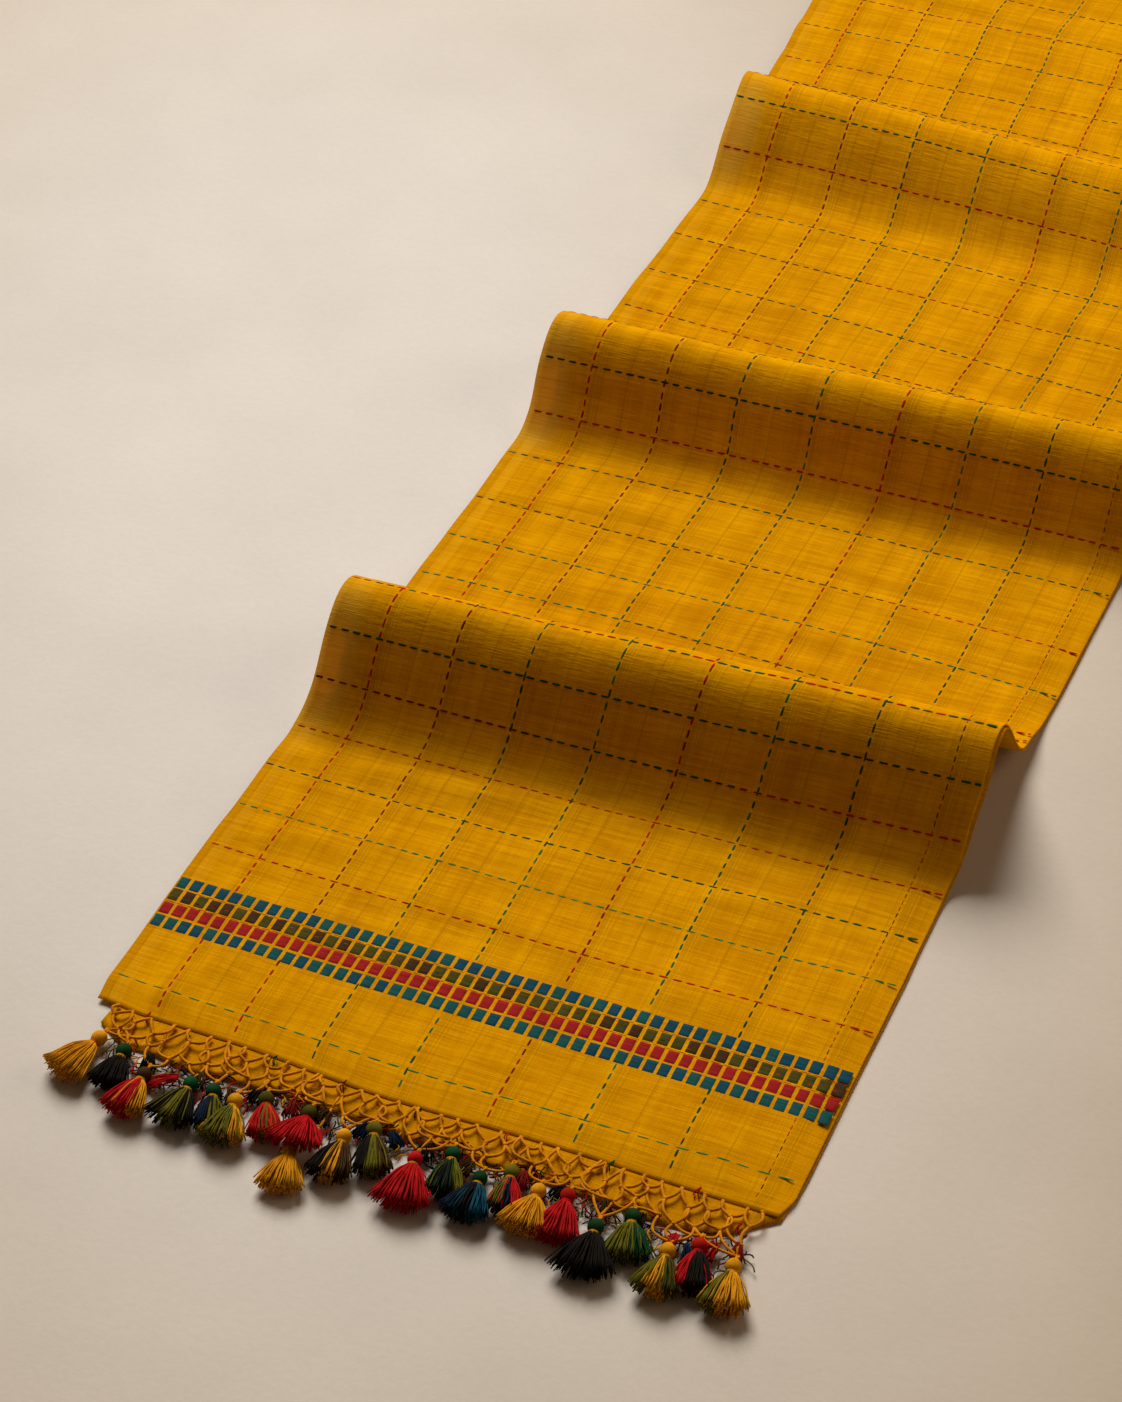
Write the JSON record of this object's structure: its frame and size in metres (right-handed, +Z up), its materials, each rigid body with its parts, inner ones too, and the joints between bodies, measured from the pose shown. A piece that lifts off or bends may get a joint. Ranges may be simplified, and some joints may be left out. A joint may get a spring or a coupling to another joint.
{
  "type": "saree",
  "caption": "Handloom cotton saree laid flat as a folded strip over soft cross rolls, with a knotted net fringe and tassels.",
  "frame": {"origin": "centre of the bounding box's bottom face, on the surface the saree lies on", "axes": "+Y along the folded strip from the tassels to the folded pile, +Z up, +X across the strip to the right when looking along +Y"},
  "size_m": [0.385, 1.72, 0.0634],
  "materials": {
    "saree_cloth": "matte",
    "saree_underside": "matte",
    "fringe_cord": "matte",
    "tassel_gold": "matte",
    "tassel_black": "matte",
    "tassel_red": "matte",
    "tassel_olive": "matte",
    "tassel_navy": "matte",
    "tassel_green": "matte"
  },
  "bodies": {
    "root": {"end_stretch": "saree_cloth", "end_under_panels": "saree_underside", "second_stretch": "saree_cloth", "second_under_panels": "saree_underside", "third_stretch": "saree_cloth", "third_under_panels": "saree_underside", "tail_stretch": "saree_cloth", "tail_under_panels": "saree_underside", "folded_length": "saree_underside", "far_end_panel": "saree_cloth", "knotted_net": "fringe_cord", "tassel_01": "tassel_gold", "tassel_02": "tassel_black", "tassel_03": "tassel_red", "tassel_04": "tassel_olive", "tassel_05": "tassel_navy", "tassel_06": "tassel_olive", "tassel_07": "tassel_red", "tassel_08": "tassel_red", "tassel_09": "tassel_gold", "tassel_10": "tassel_black", "tassel_11": "tassel_olive", "tassel_12": "tassel_red", "tassel_13": "tassel_green", "tassel_14": "tassel_navy", "tassel_15": "tassel_olive", "tassel_16": "tassel_gold", "tassel_17": "tassel_red", "tassel_18": "tassel_black", "tassel_19": "tassel_olive", "tassel_20": "tassel_gold", "tassel_21": "tassel_red", "tassel_22": "tassel_gold"}
  },
  "joints": []
}
